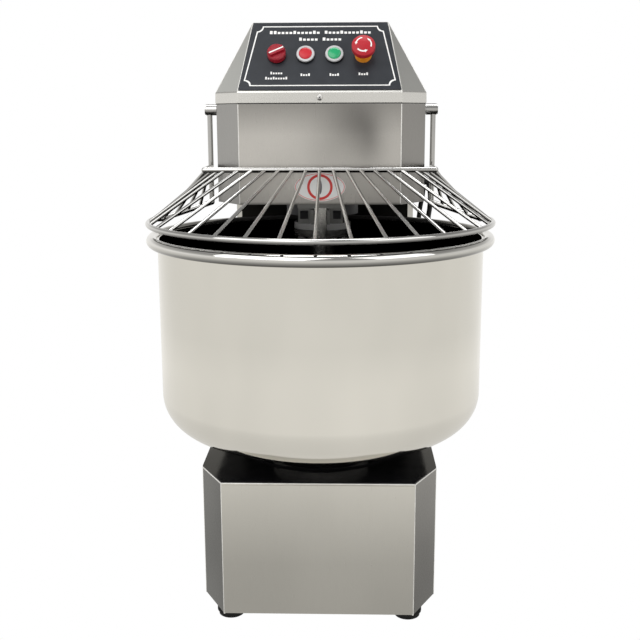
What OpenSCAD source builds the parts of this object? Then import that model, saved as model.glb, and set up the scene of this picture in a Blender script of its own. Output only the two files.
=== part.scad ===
// Spiral dough mixer: a floor-standing bakery machine with a turning bowl, a spiral hook,
// a fixed divider bar and a wire guard that tilts up.
// Millimetres, +Z up, the operator stands at -Y. The origin is on the floor, at the middle
// of the machine's length and width.

/* [Bowl] */
// Outer diameter over the rolled rim
bowl_rim_d = 520; // [500:1:530]
// Height of the middle of the rolled rim above the floor
bowl_rim_z = 549; // [545:1:552]
// Height of the underside of the bowl above the floor
bowl_bottom_z = 258; // [256:1:262]
// Thickness of the bowl's sheet
bowl_wall = 2.5; // [2:0.1:3]
// Outer radius of the rounding between bowl wall and bottom
bowl_corner_r = 58; // [54:1:64]
// Diameter of the rolled rim
bowl_rim_tube_d = 17; // [14:0.5:18]

/* [Base] */
// Width of the base over its side walls
base_w = 344; // [336:1:360]
// Distance from the bowl's axis forward to the base's front face
base_front = 175; // [170:1:185]
// Height of the base's lower edge above the floor
base_bottom_z = 21; // [18:1:26]
// Height of the upper edge of the base's walls above the floor
base_top_z = 221; // [218:1:223]
// Width of each cut-off front corner, seen from the front
base_cut_x = 35; // [25:1:45]
// Depth of each cut-off front corner, seen from the side
base_cut_y = 65; // [50:1:70]

/* [Column and head] */
// Width of the column and of the head
column_w = 316; // [312:1:330]
// Distance from the bowl's axis back to the column's front face
column_front = 276; // [272:1:285]
// Distance from the bowl's axis back to the rear cover
rear = 579.7; // [575:0.1:590]
// Distance from the bowl's axis forward to the head's front face
head_front = 18; // [14:1:22]
// Height of the head's underside above the floor
head_bottom_z = 599; // [598:0.5:604]
// Height of the joint between the head housing and the hood
head_top_z = 745; // [742:1:750]
// Height of the hood's upright lip
hood_lip_h = 18.5; // [14:0.5:22]
// Height of the top of the hood above the floor
hood_top_z = 864; // [855:1:875]
// Width of the hood's flat top
hood_top_w = 201; // [195:1:210]
// Distance from the head's front face back to the front edge of the hood's flat top
hood_slope = 56; // [50:1:60]
// Thickness of the sheet of the housings
sheet = 2.5; // [2:0.1:3]

/* [Guard] */
// Diameter of the guard's ring, arms and top bar
guard_rod_d = 8; // [7:0.5:9]
// Diameter of the guard's wires
wire_d = 5; // [4:0.5:5.5]
// Height of the guard's ring above the floor, lowered
guard_ring_z = 574; // [572:1:578]
// Height of the guard's top bar above the floor, lowered
guard_bar_z = 651; // [646:1:656]
// Half of the distance between the guard's two arms
guard_half_w = 171.5; // [170:0.5:175]
// Distance from the bowl's axis back to the guard's hinge
guard_hinge_back = 60; // [55:1:65]
// Height of the guard's hinge above the floor
guard_hinge_z = 737.5; // [735:0.5:740]

/* [Dough tools] */
// Distance from the bowl's axis back to the spiral's axis
spiral_back = 126; // [125:1:127]
// Radius of the middle of the spiral bar's path
spiral_path_r = 94; // [88:1:95]
// Diameter of the spiral bar
spiral_bar_d = 26; // [22:1:26]
// Number of turns of the spiral
spiral_turns = 1.5; // [1.25:0.05:1.75]
// Diameter of the divider bar
divider_d = 20; // [16:1:21]

/* [Controls] */
// Distance between neighbouring controls
control_pitch = 42.3; // [41:0.1:43]
// Height of the row of controls, measured up the slanted panel
control_row = 58; // [54:1:62]
// Diameter of the emergency stop's mushroom head
estop_d = 34; // [32:1:38]

/* [Feet] */
// Diameter of the levelling feet
foot_d = 42; // [38:1:46]

/* [Hidden] */
$fn = 96;

steel = [0.72, 0.71, 0.68];
bright = [0.84, 0.83, 0.80];
dark_steel = [0.35, 0.35, 0.36];
black = [0.08, 0.08, 0.08];
motor_grey = [0.36, 0.41, 0.45];
signal_red = [0.80, 0.08, 0.10];
signal_green = [0.05, 0.60, 0.30];
signal_amber = [0.93, 0.62, 0.10];

// Places along the machine's length. The guard's ring is what reaches furthest forward.
guard_ring_r = (bowl_rim_d + 1) / 2 - guard_rod_d / 2;
bowl_y = (guard_ring_r + guard_rod_d / 2 - rear) / 2;
rear_y = bowl_y + rear;
shell_rear_y = rear_y - sheet;
base_front_y = bowl_y - base_front;
column_front_y = bowl_y + column_front;
head_front_y = bowl_y - head_front;
spiral_y = bowl_y + spiral_back;
hinge_y = bowl_y + guard_hinge_back;

// Bowl
rim_path_r = (bowl_rim_d - bowl_rim_tube_d) / 2;
bowl_r = rim_path_r - bowl_rim_tube_d / 2 + 0.8;
bowl_inner_bottom_z = bowl_bottom_z + bowl_wall;

// Base, column and head
base_half_w = base_w / 2;
lid_t = 2.5;
hub_rings = [[128, 5], [104, 10], [84, 15]];
hub_hole_r = 66.5;
foot_inset_x = 41;
foot_inset_y = 42;
foot_h = 15;
stud_d = 12;
assembly_gap = 0.3;
screw_d = 4.8;
screw_head_d = 9;
column_half_w = column_w / 2;
column_cut = 10;
head_cut_x = 38.5;
head_cut_y = 55;
hood_lip_top_z = head_top_z + hood_lip_h;
hood_back_slope = 40;
plate_t = 10;
deck_z = 196;
cover_half_w = 130;
cover_bottom_z = 46;
cover_top_z = 720;

// Slanted control panel
panel_rise = hood_top_z - hood_lip_top_z;
panel_tilt = atan2(panel_rise, hood_slope);
panel_length = norm([panel_rise, hood_slope]);
panel_bottom_half_w = column_half_w - head_cut_x;
panel_top_half_w = hood_top_w / 2;
plate_inset = 1.5;
overlay_t = 1.5;
overlay_side_inset = 0.8;
panel_hole_d = 22.2;
thread_d = 22;
cap_d = 19.4;
bezel_d = 27;
selector_angle = 64;
selector_d = 27;
label_size = [75, 42];

// Guard
bar_y = head_front_y - 15;
bar_half_w = guard_half_w - 2.5;
side_wires = 3;
last_fan_wire = 10;
last_even_wire = 7;
last_ring_wire = 8;
wire_pitch = 19.66;
end_pitch = 9.6;
wire_angle = 10.5;
bend_r = 25;
bend_x = guard_ring_r - bend_r;
arm_bottom_z = 596;
arm_from_bend = [guard_half_w - bend_x, guard_hinge_back];
bend_angle = atan2(arm_from_bend[1], arm_from_bend[0]) - acos(bend_r / norm(arm_from_bend));
bend_end = [bend_x + bend_r * cos(bend_angle), bowl_y + bend_r * sin(bend_angle), guard_ring_z];
arm_bottom = [guard_half_w, hinge_y, arm_bottom_z];
boss_start = column_half_w + 2.5;
boss_length = 16;
boss_d = 17;
pivot_d = 10;
weld_bead = 1;

// Divider bar and its bracket under the head
divider_y = bowl_y + 2;
divider_plate_y = bowl_y + 15;
bracket_t = 6;
bracket_half_w = 34;
bracket_h = 26;
bracket_top_z = head_bottom_z - bracket_t;
bracket_bolt_x = 25;
bracket_bolt_z = head_bottom_z - 18;
bracket_bolt_w = 11.6;

// Spiral: from under its flange, out from the axis, then down and round
hook_flange_z = head_bottom_z - 50;
hook_flange_d = 92;
hook_top_z = 478;
hook_bottom_z = bowl_inner_bottom_z + 11 + spiral_bar_d / 2;
hook_bottom_r = 70;
hook_out = 0.2;

// Drive: two chains of 12.7 mm pitch and two belt stages, ratios 2, 3.5, 4 and 5 to 1
chain_pitch = 12.7;
chain_clear = 0.8;
belt_clear = 0.8;
shaft_clear = 0.05;
countershaft_y = bowl_y + 345;
jackshaft_y = bowl_y + 190;
motor_y = bowl_y + 502;
motor_r = 66;
motor_bottom_z = 330;
motor_top_z = 556;
upper_chain_z = 652;
upper_belt_z = 690;
lower_chain_z = 104;
lower_belt_z = 66;
spiral_teeth = 38;
counter_teeth = 19;
bowl_teeth = 50;
jack_teeth = 10;
counter_pulley_r = 105;
motor_pulley_r = 30;
jack_pulley_r = 100;
counter_small_pulley_r = 25;
belt_pitch = 16;

// Cable glands: a nut, a cap that the lead comes out of, and a thread through the sheet
gland_nut_h = 3;
gland_cap_h = 2.5;
gland_thread_h = sheet;
switch_gland_d = 12;
motor_gland_d = 11;
inlet_d = 20;
inlet_from_end = 60;
// Route of the guard switch's lead: out of the head's right side and into the column's
switch_lead_d = 8.5;
switch_lead_route = [
    [163.5, -22, 621.5], [167.5, -22, 621.7], [172, -20, 619.8], [175.3, -14.5, 613.5],
    [177.3, -5, 603.5], [179, 9, 590.5], [179.6, 28, 573.5], [179.2, 48, 555],
    [180, 72, 522], [181.5, 94, 489], [182.5, 114, 460], [181, 130, 439], [175.8, 139, 428],
    [169.5, 142, 425], [163.5, 142, 425]
];
// Route of the motor's lead, low on the head and beside the column
motor_lead_d = 8;
motor_lead_route = [
    [163.5, 84, 611], [167, 84, 610.7], [170.8, 84.5, 607.8], [172.6, 86, 601.5],
    [171.6, 88.8, 589], [168.6, 93.5, 570], [166.8, 100, 549], [167, 110, 524],
    [168.5, 122, 503], [170.8, 137, 484], [173.5, 151, 471], [175.3, 161.5, 464],
    [173.2, 169, 460.8], [168, 171.8, 460], [163.5, 172, 460]
];

function steps(n) = [for (i = [0 : n - 1]) i];

// ---------------------------------------------------------------- helpers

// Plan outline of a housing whose two front corners are cut off
module cut_plan(half_w, front_y, back_y, cut_x, cut_y) {
    polygon([
        [-half_w, back_y], [-half_w, front_y + cut_y], [-half_w + cut_x, front_y],
        [half_w - cut_x, front_y], [half_w, front_y + cut_y], [half_w, back_y]
    ]);
}

// The same outline, moved inward by t everywhere
module inner_plan(half_w, front_y, back_y, cut_x, cut_y, t) {
    slant = norm([cut_x, cut_y]);
    side_y = front_y + cut_y + t * (slant - cut_y) / cut_x;
    front_x = half_w - cut_x - t * (slant - cut_x) / cut_y;
    polygon([
        [-half_w + t, back_y - t], [-half_w + t, side_y], [-front_x, front_y + t],
        [front_x, front_y + t], [half_w - t, side_y], [half_w - t, back_y - t]
    ]);
}

// Straight round rod between two points
module rod(a, b, d) {
    v = b - a;
    translate(a)
        rotate([0, acos(v[2] / norm(v)), atan2(v[1], v[0])])
            cylinder(h = norm(v), d = d);
}

// Upright ring
module ring(y, z, h, r_out, r_in) {
    translate([0, y, z])
        difference() {
            cylinder(h = h, r = r_out);
            translate([0, 0, -1]) cylinder(h = h + 2, r = r_in);
        }
}

// Upright shaft
module shaft(y, z0, z1, d) {
    translate([0, y, z0]) cylinder(h = z1 - z0, d = d);
}

function sprocket_r(teeth) = chain_pitch / (2 * sin(180 / teeth));

// Chain wheel with a hub above it
module sprocket(y, z, teeth, bore_d, hub_d, hub_h) {
    pitch_r = sprocket_r(teeth);
    root_r = pitch_r - 4;
    translate([0, y, z])
        difference() {
            union() {
                cylinder(h = 7, r = root_r);
                linear_extrude(height = 7)
                    for (i = steps(teeth))
                        rotate(360 * i / teeth)
                            polygon([[root_r - 1, -3.4], [pitch_r + 2, -1.2],
                                     [pitch_r + 2, 1.2], [root_r - 1, 3.4]]);
                cylinder(h = 7 + hub_h, d = hub_d);
            }
            translate([0, 0, -1]) cylinder(h = hub_h + 9, d = bore_d);
        }
}

// Grooved belt wheel
module pulley(y, z, r, grooves, bore_d) {
    height = grooves * belt_pitch + 4;
    translate([0, y, z])
        difference() {
            cylinder(h = height, r = r);
            for (i = steps(grooves))
                translate([0, 0, 4 + i * belt_pitch])
                    difference() {
                        cylinder(h = belt_pitch - 4, r = r + 1);
                        translate([0, 0, -1]) cylinder(h = belt_pitch - 2, r = r - 9);
                    }
            translate([0, 0, -1]) cylinder(h = height + 2, d = bore_d);
        }
}

// Closed band that runs around two wheels
module band(y1, r1, y2, r2, z, h, t) {
    translate([0, 0, z])
        linear_extrude(height = h)
            difference() {
                hull() {
                    translate([0, y1]) circle(r = r1 + t, $fn = 48);
                    translate([0, y2]) circle(r = r2 + t, $fn = 48);
                }
                hull() {
                    translate([0, y1]) circle(r = r1, $fn = 48);
                    translate([0, y2]) circle(r = r2, $fn = 48);
                }
            }
}

// V-belts of one stage, lying in the grooves of two wheels
module belts(y1, r1, y2, r2, z, count) {
    for (i = steps(count))
        band(y1, r1 - 9 + belt_clear, y2, r2 - 9 + belt_clear,
             z + 4 + belt_clear + i * belt_pitch, belt_pitch - 4 - 2 * belt_clear, 8);
}

// Place on the slanted control panel: x across, up measured from its lower edge
module on_panel(x, up) {
    translate([0, head_front_y, hood_lip_top_z])
        rotate([panel_tilt, 0, 0])
            translate([x, up, 0])
                children();
}

// Sweep of a round section along a list of points, with a closed end at each side
function tangent(p, i) =
    let (a = p[max(i - 1, 0)], b = p[min(i + 1, len(p) - 1)]) (b - a) / norm(b - a);
function side_of(t) =
    let (s = abs(t[2]) > 0.95 ? cross(t, [0, 1, 0]) : cross(t, [0, 0, 1])) s / norm(s);
// The side direction s, carried on to point i without twisting
function carried(p, i, s) =
    i == len(p) ? s : let (t = tangent(p, i), u = s - t * (s * t)) u / norm(u);

module tube_along(p, radii, sides) {
    n = len(p);
    frames = [for (i = 0, s = side_of(tangent(p, 0)); i < n;
                   i = i + 1, s = carried(p, i, s))
              s];
    points = [for (i = steps(n))
              let (t = tangent(p, i), s = frames[i], q = cross(t, s))
              for (k = steps(sides))
              p[i] + radii[i] * (s * cos(360 * k / sides) + q * sin(360 * k / sides))];
    walls = [for (i = steps(n - 1)) for (k = steps(sides))
             let (a = i * sides + k, b = i * sides + (k + 1) % sides)
             each [[a, b + sides, b], [a, a + sides, b + sides]]];
    first = [for (k = steps(sides)) k];
    last = [for (k = steps(sides)) n * sides - 1 - k];
    polyhedron(points, concat([first], walls, [last]));
}

// Smooth curve through a list of points, with a number of steps between neighbours
function curve_at(p, i, t) =
    let (a = p[max(i - 1, 0)], b = p[i], c = p[i + 1], d = p[min(i + 2, len(p) - 1)])
    0.5 * (2 * b + (c - a) * t + (2 * a - 5 * b + 4 * c - d) * t * t
           + (3 * b - a - 3 * c + d) * t * t * t);
function curve(p, count) = concat(
    [for (i = steps(len(p) - 1)) for (k = steps(count)) curve_at(p, i, k / count)],
    [p[len(p) - 1]]);

// ---------------------------------------------------------------- base

module base_shell() {
    height = base_top_z - base_bottom_z;
    window_w = 2 * (base_half_w - base_cut_x) - 24;
    color(steel)
        translate([0, 0, base_bottom_z])
            difference() {
                linear_extrude(height = height)
                    cut_plan(base_half_w, base_front_y, shell_rear_y, base_cut_x, base_cut_y);
                translate([0, 0, -1])
                    linear_extrude(height = height + 2)
                        inner_plan(base_half_w, base_front_y, shell_rear_y,
                                   base_cut_x, base_cut_y, sheet);
                // Opening behind the front panel
                translate([-window_w / 2, base_front_y - 10, 14])
                    cube([window_w, 20, height - 28]);
                // Opening behind the rear cover
                translate([-cover_half_w + 14, shell_rear_y - 10, cover_bottom_z])
                    cube([2 * cover_half_w - 28, 20, height]);
                // Room for the column's rear wall
                translate([-column_half_w - assembly_gap, shell_rear_y - 10,
                           deck_z + plate_t - base_bottom_z])
                    cube([2 * (column_half_w + assembly_gap), 20, height]);
            }
}

module base_front_panel() {
    half_w = base_half_w - base_cut_x;
    color(steel)
        translate([-half_w + 0.5, base_front_y - 1.5, base_bottom_z + 2])
            cube([2 * half_w - 1, 1.5, base_top_z - base_bottom_z - 4]);
}

// Lid that lies on the base's walls, with stepped rings around the bowl's hub
module base_top_cover() {
    color(black)
        translate([0, 0, base_top_z])
            difference() {
                union() {
                    linear_extrude(height = lid_t)
                        difference() {
                            cut_plan(base_half_w, base_front_y, shell_rear_y,
                                     base_cut_x, base_cut_y);
                            // Room for the column
                            inner_plan(column_half_w, column_front_y, rear_y + 10,
                                       column_cut, column_cut, -assembly_gap);
                        }
                    for (hub = hub_rings)
                        translate([0, bowl_y, 0]) cylinder(h = hub[1], r = hub[0]);
                }
                translate([0, bowl_y, -1]) cylinder(h = 40, r = hub_hole_r);
            }
}

module floor_plate() {
    color(dark_steel)
        translate([0, 0, base_bottom_z + 3])
            difference() {
                linear_extrude(height = 8)
                    inner_plan(base_half_w, base_front_y, shell_rear_y,
                               base_cut_x, base_cut_y, sheet + assembly_gap);
                for (p = foot_places())
                    translate([p[0], p[1], -1]) cylinder(h = 10, d = stud_d + 0.2);
                translate([0, motor_y, -1]) cylinder(h = 10, r = 45);
            }
}

module deck_plate() {
    color(dark_steel)
        translate([0, 0, deck_z])
            difference() {
                linear_extrude(height = plate_t)
                    inner_plan(base_half_w, base_front_y, shell_rear_y,
                               base_cut_x, base_cut_y, sheet + assembly_gap);
                translate([0, bowl_y, -1]) cylinder(h = plate_t + 2, r = 48);
                translate([0, jackshaft_y, -1]) cylinder(h = plate_t + 2, r = 16);
                translate([0, countershaft_y, -1]) cylinder(h = plate_t + 2, r = 24);
                translate([0, motor_y, -1]) cylinder(h = plate_t + 2, r = 40);
            }
}

function foot_places() = [
    for (side = [-1, 1], y = [base_front_y + foot_inset_y, shell_rear_y - foot_inset_y])
        [side * (base_half_w - foot_inset_x), y]
];

module levelling_feet() {
    color(black)
        for (p = foot_places())
            translate([p[0], p[1], 0])
                difference() {
                    union() {
                        cylinder(h = 6, d = foot_d - 4);
                        translate([0, 0, 6]) cylinder(h = foot_h - 6, d = foot_d);
                    }
                    translate([0, 0, 5]) cylinder(h = foot_h, d = stud_d);
                }
}

module foot_studs() {
    color(bright)
        for (p = foot_places()) {
            translate([p[0], p[1], 5]) cylinder(h = 45, d = stud_d);
            translate([p[0], p[1], foot_h + 0.5]) cylinder(h = 7, d = 21, $fn = 6);
            translate([p[0], p[1], base_bottom_z + 11]) cylinder(h = 9, d = 21, $fn = 6);
        }
}

// ---------------------------------------------------------------- column

module column_shell() {
    z0 = deck_z + plate_t;
    height = head_bottom_z - z0;
    color(steel)
        translate([0, 0, z0])
            difference() {
                linear_extrude(height = height)
                    cut_plan(column_half_w, column_front_y, shell_rear_y,
                             column_cut, column_cut);
                translate([0, 0, -1])
                    linear_extrude(height = height + 2)
                        inner_plan(column_half_w, column_front_y, shell_rear_y,
                                   column_cut, column_cut, 4);
                translate([-cover_half_w + 14, shell_rear_y - 10, -1])
                    cube([2 * cover_half_w - 28, 20, height + 2]);
            }
}

module rear_cover() {
    slot_w = 150;
    color(steel)
        translate([0, shell_rear_y, 0])
            difference() {
                translate([-cover_half_w, 0, cover_bottom_z])
                    cube([2 * cover_half_w, sheet, cover_top_z - cover_bottom_z]);
                // Ventilation slots beside the motor
                for (z = [340 : 22 : 540])
                    translate([-slot_w / 2, -1, z])
                        cube([slot_w, sheet + 2, 8]);
                for (p = rear_screw_places())
                    translate([p[0], sheet, p[1]])
                        rotate([90, 0, 0])
                            countersunk_screw(0.4);
            }
}

function rear_screw_places() = [
    for (side = [-1, 1], z = [60 : 128 : 700]) [side * (cover_half_w - 7), z]
];

// Countersunk screw that points along +Z, with its flat head at 0. It grows by wider.
module countersunk_screw(wider) {
    cylinder(h = sheet + 4, d = screw_d + wider);
    cylinder(h = 2, d1 = screw_head_d + wider, d2 = screw_d + wider);
}

module dome_screw(d) {
    intersection() {
        translate([0, 0, -d * 0.35]) sphere(d = d * 1.2);
        cylinder(h = d, d = d);
    }
    translate([0, 0, -4]) cylinder(h = 5, d = d * 0.45);
}

module cover_screws() {
    color(bright) {
        for (p = rear_screw_places())
            translate([p[0], rear_y, p[1]])
                rotate([90, 0, 0])
                    countersunk_screw(0);
        translate([0, head_front_y - sheet, head_top_z + hood_lip_h / 2])
            rotate([90, 0, 0])
                dome_screw(9);
    }
}

// ---------------------------------------------------------------- head

module head_base_plate() {
    color(dark_steel)
        translate([0, 0, head_bottom_z])
            difference() {
                linear_extrude(height = plate_t)
                    inner_plan(column_half_w, head_front_y, shell_rear_y,
                               head_cut_x, head_cut_y, sheet + assembly_gap);
                translate([0, spiral_y, -1]) cylinder(h = plate_t + 2, r = 46);
                translate([0, countershaft_y, -1]) cylinder(h = plate_t + 2, r = 24);
                translate([0, motor_y, -1]) cylinder(h = plate_t + 2, r = 22);
            }
}

module head_housing() {
    z0 = head_bottom_z;
    height = head_top_z - z0;
    color(steel)
        translate([0, 0, z0])
            difference() {
                linear_extrude(height = height)
                    cut_plan(column_half_w, head_front_y, shell_rear_y,
                             head_cut_x, head_cut_y);
                translate([0, 0, -1])
                    linear_extrude(height = height + 2)
                        inner_plan(column_half_w, head_front_y, shell_rear_y,
                                   head_cut_x, head_cut_y, sheet);
                translate([-cover_half_w + 14, shell_rear_y - 10, -1])
                    cube([2 * cover_half_w - 28, 20, cover_top_z - z0 - 13]);
                // Holes for the guard's pivot pins
                translate([-200, hinge_y, guard_hinge_z - z0])
                    rotate([0, 90, 0])
                        cylinder(h = 400, d = pivot_d);
            }
}

// Closed body of the hood, moved inward by t
module hood_body(t) {
    hull() {
        translate([0, 0, hood_lip_top_z - (t > 0 ? 1 : 0.01)])
            linear_extrude(height = t > 0 ? 1 : 0.01)
                inner_plan(column_half_w, head_front_y, rear_y, head_cut_x, head_cut_y, t);
        translate([-panel_top_half_w + t * 0.8, head_front_y + hood_slope + t * 0.8,
                   hood_top_z - t - 0.01])
            cube([2 * panel_top_half_w - 1.6 * t,
                  rear_y - hood_back_slope - head_front_y - hood_slope - 1.6 * t, 0.01]);
    }
}

module hood() {
    color(steel)
        difference() {
            union() {
                translate([0, 0, head_top_z])
                    linear_extrude(height = hood_lip_h)
                        inner_plan(column_half_w, head_front_y, rear_y,
                                   head_cut_x, head_cut_y, 0);
                hood_body(0);
            }
            translate([0, 0, head_top_z - 1])
                linear_extrude(height = hood_lip_h)
                    inner_plan(column_half_w, head_front_y, rear_y,
                               head_cut_x, head_cut_y, sheet);
            hood_body(sheet);
            for (x = control_places())
                on_panel(x, control_row)
                    translate([0, 0, -10])
                        cylinder(h = 20, d = panel_hole_d);
            translate([0, head_front_y + 5, head_top_z + hood_lip_h / 2])
                rotate([90, 0, 0])
                    cylinder(h = 10, d = 4.2);
        }
}

// ---------------------------------------------------------------- controls

function control_places() = [for (i = steps(4)) (i - 1.5) * control_pitch];

module control_plate() {
    bottom = panel_bottom_half_w - overlay_side_inset;
    top = panel_top_half_w - overlay_side_inset;
    color(black)
        on_panel(0, 0)
            difference() {
                linear_extrude(height = overlay_t)
                    polygon([
                        [-bottom, plate_inset], [bottom, plate_inset],
                        [top, panel_length - plate_inset], [-top, panel_length - plate_inset]
                    ]);
                for (x = control_places())
                    translate([x, control_row, -1])
                        cylinder(h = overlay_t + 2, d = panel_hole_d);
            }
}

module label_plate() {
    color("white")
        translate([0, head_front_y, (head_bottom_z + guard_bar_z) / 2])
            rotate([90, 0, 0])
                scale([label_size[0], label_size[1], 1])
                    cylinder(h = 0.6, d = 1);
}

// Threaded sleeve through the panel, with its nut behind it
module panel_sleeve() {
    translate([0, 0, -24]) cylinder(h = 24 + overlay_t, d = thread_d);
    translate([0, 0, -9]) cylinder(h = 5, d = 28, $fn = 6);
}

module bezel() {
    difference() {
        union() {
            panel_sleeve();
            translate([0, 0, overlay_t]) cylinder(h = 4, d = bezel_d);
            translate([0, 0, overlay_t + 4]) cylinder(h = 2, d1 = bezel_d, d2 = bezel_d - 1.5);
        }
        translate([0, 0, -25]) cylinder(h = 40, d = cap_d + 0.2);
    }
}

// The selector has only a thin flange, which its knob hides
module control_bezels() {
    color(bright) {
        for (i = [1, 2])
            on_panel(control_places()[i], control_row)
                bezel();
        on_panel(control_places()[0], control_row)
            difference() {
                union() {
                    panel_sleeve();
                    translate([0, 0, overlay_t]) cylinder(h = 1.5, d = bezel_d + 1);
                }
                translate([0, 0, -25]) cylinder(h = 40, d = cap_d + 0.2);
            }
    }
}

module estop_collar() {
    color(signal_amber)
        on_panel(control_places()[3], control_row)
            difference() {
                union() {
                    translate([0, 0, overlay_t]) cylinder(h = 8, d = 25);
                    translate([0, 0, -24]) cylinder(h = 24 + overlay_t, d = thread_d);
                }
                translate([0, 0, -25]) cylinder(h = 50, d = 15.6);
            }
}

module contact_blocks() {
    color(black)
        for (x = control_places())
            on_panel(x, control_row)
                translate([-14, -20, -62])
                    cube([28, 40, 37]);
}

// Round knob with a raised grip. The grip points to the upper right at rest.
module selector_knob() {
    under = overlay_t + 1.8;
    color(signal_red)
        on_panel(control_places()[0], control_row)
            rotate(-selector_angle) {
                translate([0, 0, -22]) cylinder(h = 24 + under, d = cap_d);
                translate([0, 0, under]) cylinder(h = 8, d = selector_d);
                translate([0, 0, under + 8]) cylinder(h = 2, d1 = selector_d, d2 = selector_d - 3);
                intersection() {
                    translate([-4.5, -selector_d, under + 8]) cube([9, 2 * selector_d, 6]);
                    translate([0, 0, under + 8])
                        cylinder(h = 6, d1 = selector_d - 1, d2 = selector_d - 4);
                }
            }
}

module push_button() {
    translate([0, 0, -20]) cylinder(h = 27.4, d = cap_d);
    translate([0, 0, 7.4]) cylinder(h = 1.2, d1 = cap_d, d2 = cap_d - 2.4);
}

module fast_button() {
    color(signal_red)
        on_panel(control_places()[1], control_row)
            push_button();
}

module slow_button() {
    color(signal_green)
        on_panel(control_places()[2], control_row)
            push_button();
}

module estop_stem() {
    color(black)
        on_panel(control_places()[3], control_row) {
            translate([0, 0, -18]) cylinder(h = 33, d = 15.4);
            translate([0, 0, 15]) cylinder(h = 10, d = 8);
        }
}

module estop_button() {
    color(signal_red)
        on_panel(control_places()[3], control_row)
            difference() {
                union() {
                    translate([0, 0, 15.4]) cylinder(h = 4.6, d1 = 24, d2 = estop_d);
                    translate([0, 0, 20]) cylinder(h = 5, d = estop_d);
                    // Domed top
                    intersection() {
                        translate([0, 0, 25]) cylinder(h = 8, d = estop_d);
                        translate([0, 0, 32 - estop_d]) sphere(r = estop_d);
                    }
                }
                translate([0, 0, 14]) cylinder(h = 11.4, d = 8 + 2 * shaft_clear);
            }
}

module contactor_tray() {
    y0 = bowl_y + 300;
    z0 = hood_lip_top_z + 4;
    color("gainsboro") {
        translate([-88, y0, z0]) cube([176, 150, 3]);
        translate([-60, y0 + 20, z0 + 3]) cube([2, 110, 30]);
        for (i = steps(3))
            translate([-50 + 44 * i, y0 + 30, z0 + 3])
                cube([36, 70, 62]);
    }
}

// ---------------------------------------------------------------- bearings and motor

module bearing_housings() {
    color(dark_steel) {
        // Under the bowl
        ring(bowl_y, deck_z - 60, 60, 46, 36);
        ring(bowl_y, deck_z, plate_t, 47.5, 36);
        ring(bowl_y, deck_z + plate_t, 26, 62, 36);
        // Over the spiral
        ring(spiral_y, head_bottom_z - 26, 26, 58, 34);
        ring(spiral_y, head_bottom_z, 40, 45.5, 34);
    }
}

module ball_bearings() {
    color(bright) {
        for (z = [deck_z - 58, deck_z + 12])
            ring(bowl_y, z, 16, 36, 25 + shaft_clear);
        for (z = [head_bottom_z - 22, head_bottom_z + 20])
            ring(spiral_y, z, 16, 34, 19 + shaft_clear);
        for (z = [deck_z - 52, deck_z - 18])
            ring(jackshaft_y, z, 12, 22, 12.5 + shaft_clear);
    }
}

module countershaft_flanges() {
    color(dark_steel)
        for (z = [deck_z + plate_t, head_bottom_z + plate_t])
            difference() {
                union() {
                    translate([-50, countershaft_y - 50, z]) cube([100, 100, 10]);
                    ring(countershaft_y, z + 10, 18, 34, 15 + shaft_clear);
                }
                translate([0, countershaft_y, z - 1])
                    cylinder(h = 12, d = 30 + 2 * shaft_clear);
                for (a = [45 : 90 : 315])
                    translate([0, countershaft_y, z - 1])
                        rotate(a)
                            translate([54, 0, 0])
                                cylinder(h = 12, d = 9);
            }
}

module jackshaft_housing() {
    color(dark_steel) {
        ring(jackshaft_y, deck_z - 54, 54, 30, 22);
        ring(jackshaft_y, deck_z - 8, 8, 48, 30);
    }
}

module motor_body() {
    color(motor_grey)
        translate([0, motor_y, 0])
            difference() {
                union() {
                    translate([0, 0, motor_bottom_z]) cylinder(h = 226, r = motor_r - 8);
                    // End shields and cooling ribs
                    for (z = [motor_bottom_z, motor_top_z - 18])
                        translate([0, 0, z]) cylinder(h = 18, r = motor_r);
                    for (z = [motor_bottom_z + 30 : 12 : motor_top_z - 34])
                        translate([0, 0, z]) cylinder(h = 4, r = motor_r - 1);
                    // Terminal box
                    translate([52, -35, motor_bottom_z + 70]) cube([50, 70, 90]);
                }
                translate([0, 0, motor_bottom_z - 1]) cylinder(h = 240, d = 24 + 2 * shaft_clear);
            }
}

module motor_mount() {
    half_w = column_half_w - 4;
    color(dark_steel)
        difference() {
            translate([-half_w, motor_y - 80, motor_top_z])
                cube([2 * half_w, shell_rear_y - 6 - motor_y + 80, 12]);
            translate([0, motor_y, motor_top_z - 1]) cylinder(h = 14, r = 40);
        }
}

// ---------------------------------------------------------------- chains and belts

module chain(y1, teeth1, y2, teeth2, z) {
    reach = 2 + chain_clear;
    color(dark_steel)
        band(y1, sprocket_r(teeth1) + reach, y2, sprocket_r(teeth2) + reach, z + 0.5, 6, 7);
}

module upper_belts() {
    color(black)
        belts(motor_y, motor_pulley_r, countershaft_y, counter_pulley_r, upper_belt_z, 2);
}

module upper_chain() {
    chain(spiral_y, spiral_teeth, countershaft_y, counter_teeth, upper_chain_z);
}

module lower_belt() {
    color(black)
        belts(countershaft_y, counter_small_pulley_r, jackshaft_y, jack_pulley_r,
              lower_belt_z, 1);
}

module lower_chain() {
    chain(bowl_y, bowl_teeth, jackshaft_y, jack_teeth, lower_chain_z);
}

// ---------------------------------------------------------------- divider and leads

module divider_bar() {
    foot_z = bowl_inner_bottom_z + 12 + divider_d / 2;
    color(bright)
        translate([0, divider_y, foot_z]) {
            cylinder(h = bracket_top_z - foot_z, d = divider_d);
            sphere(d = divider_d);
        }
}

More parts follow.
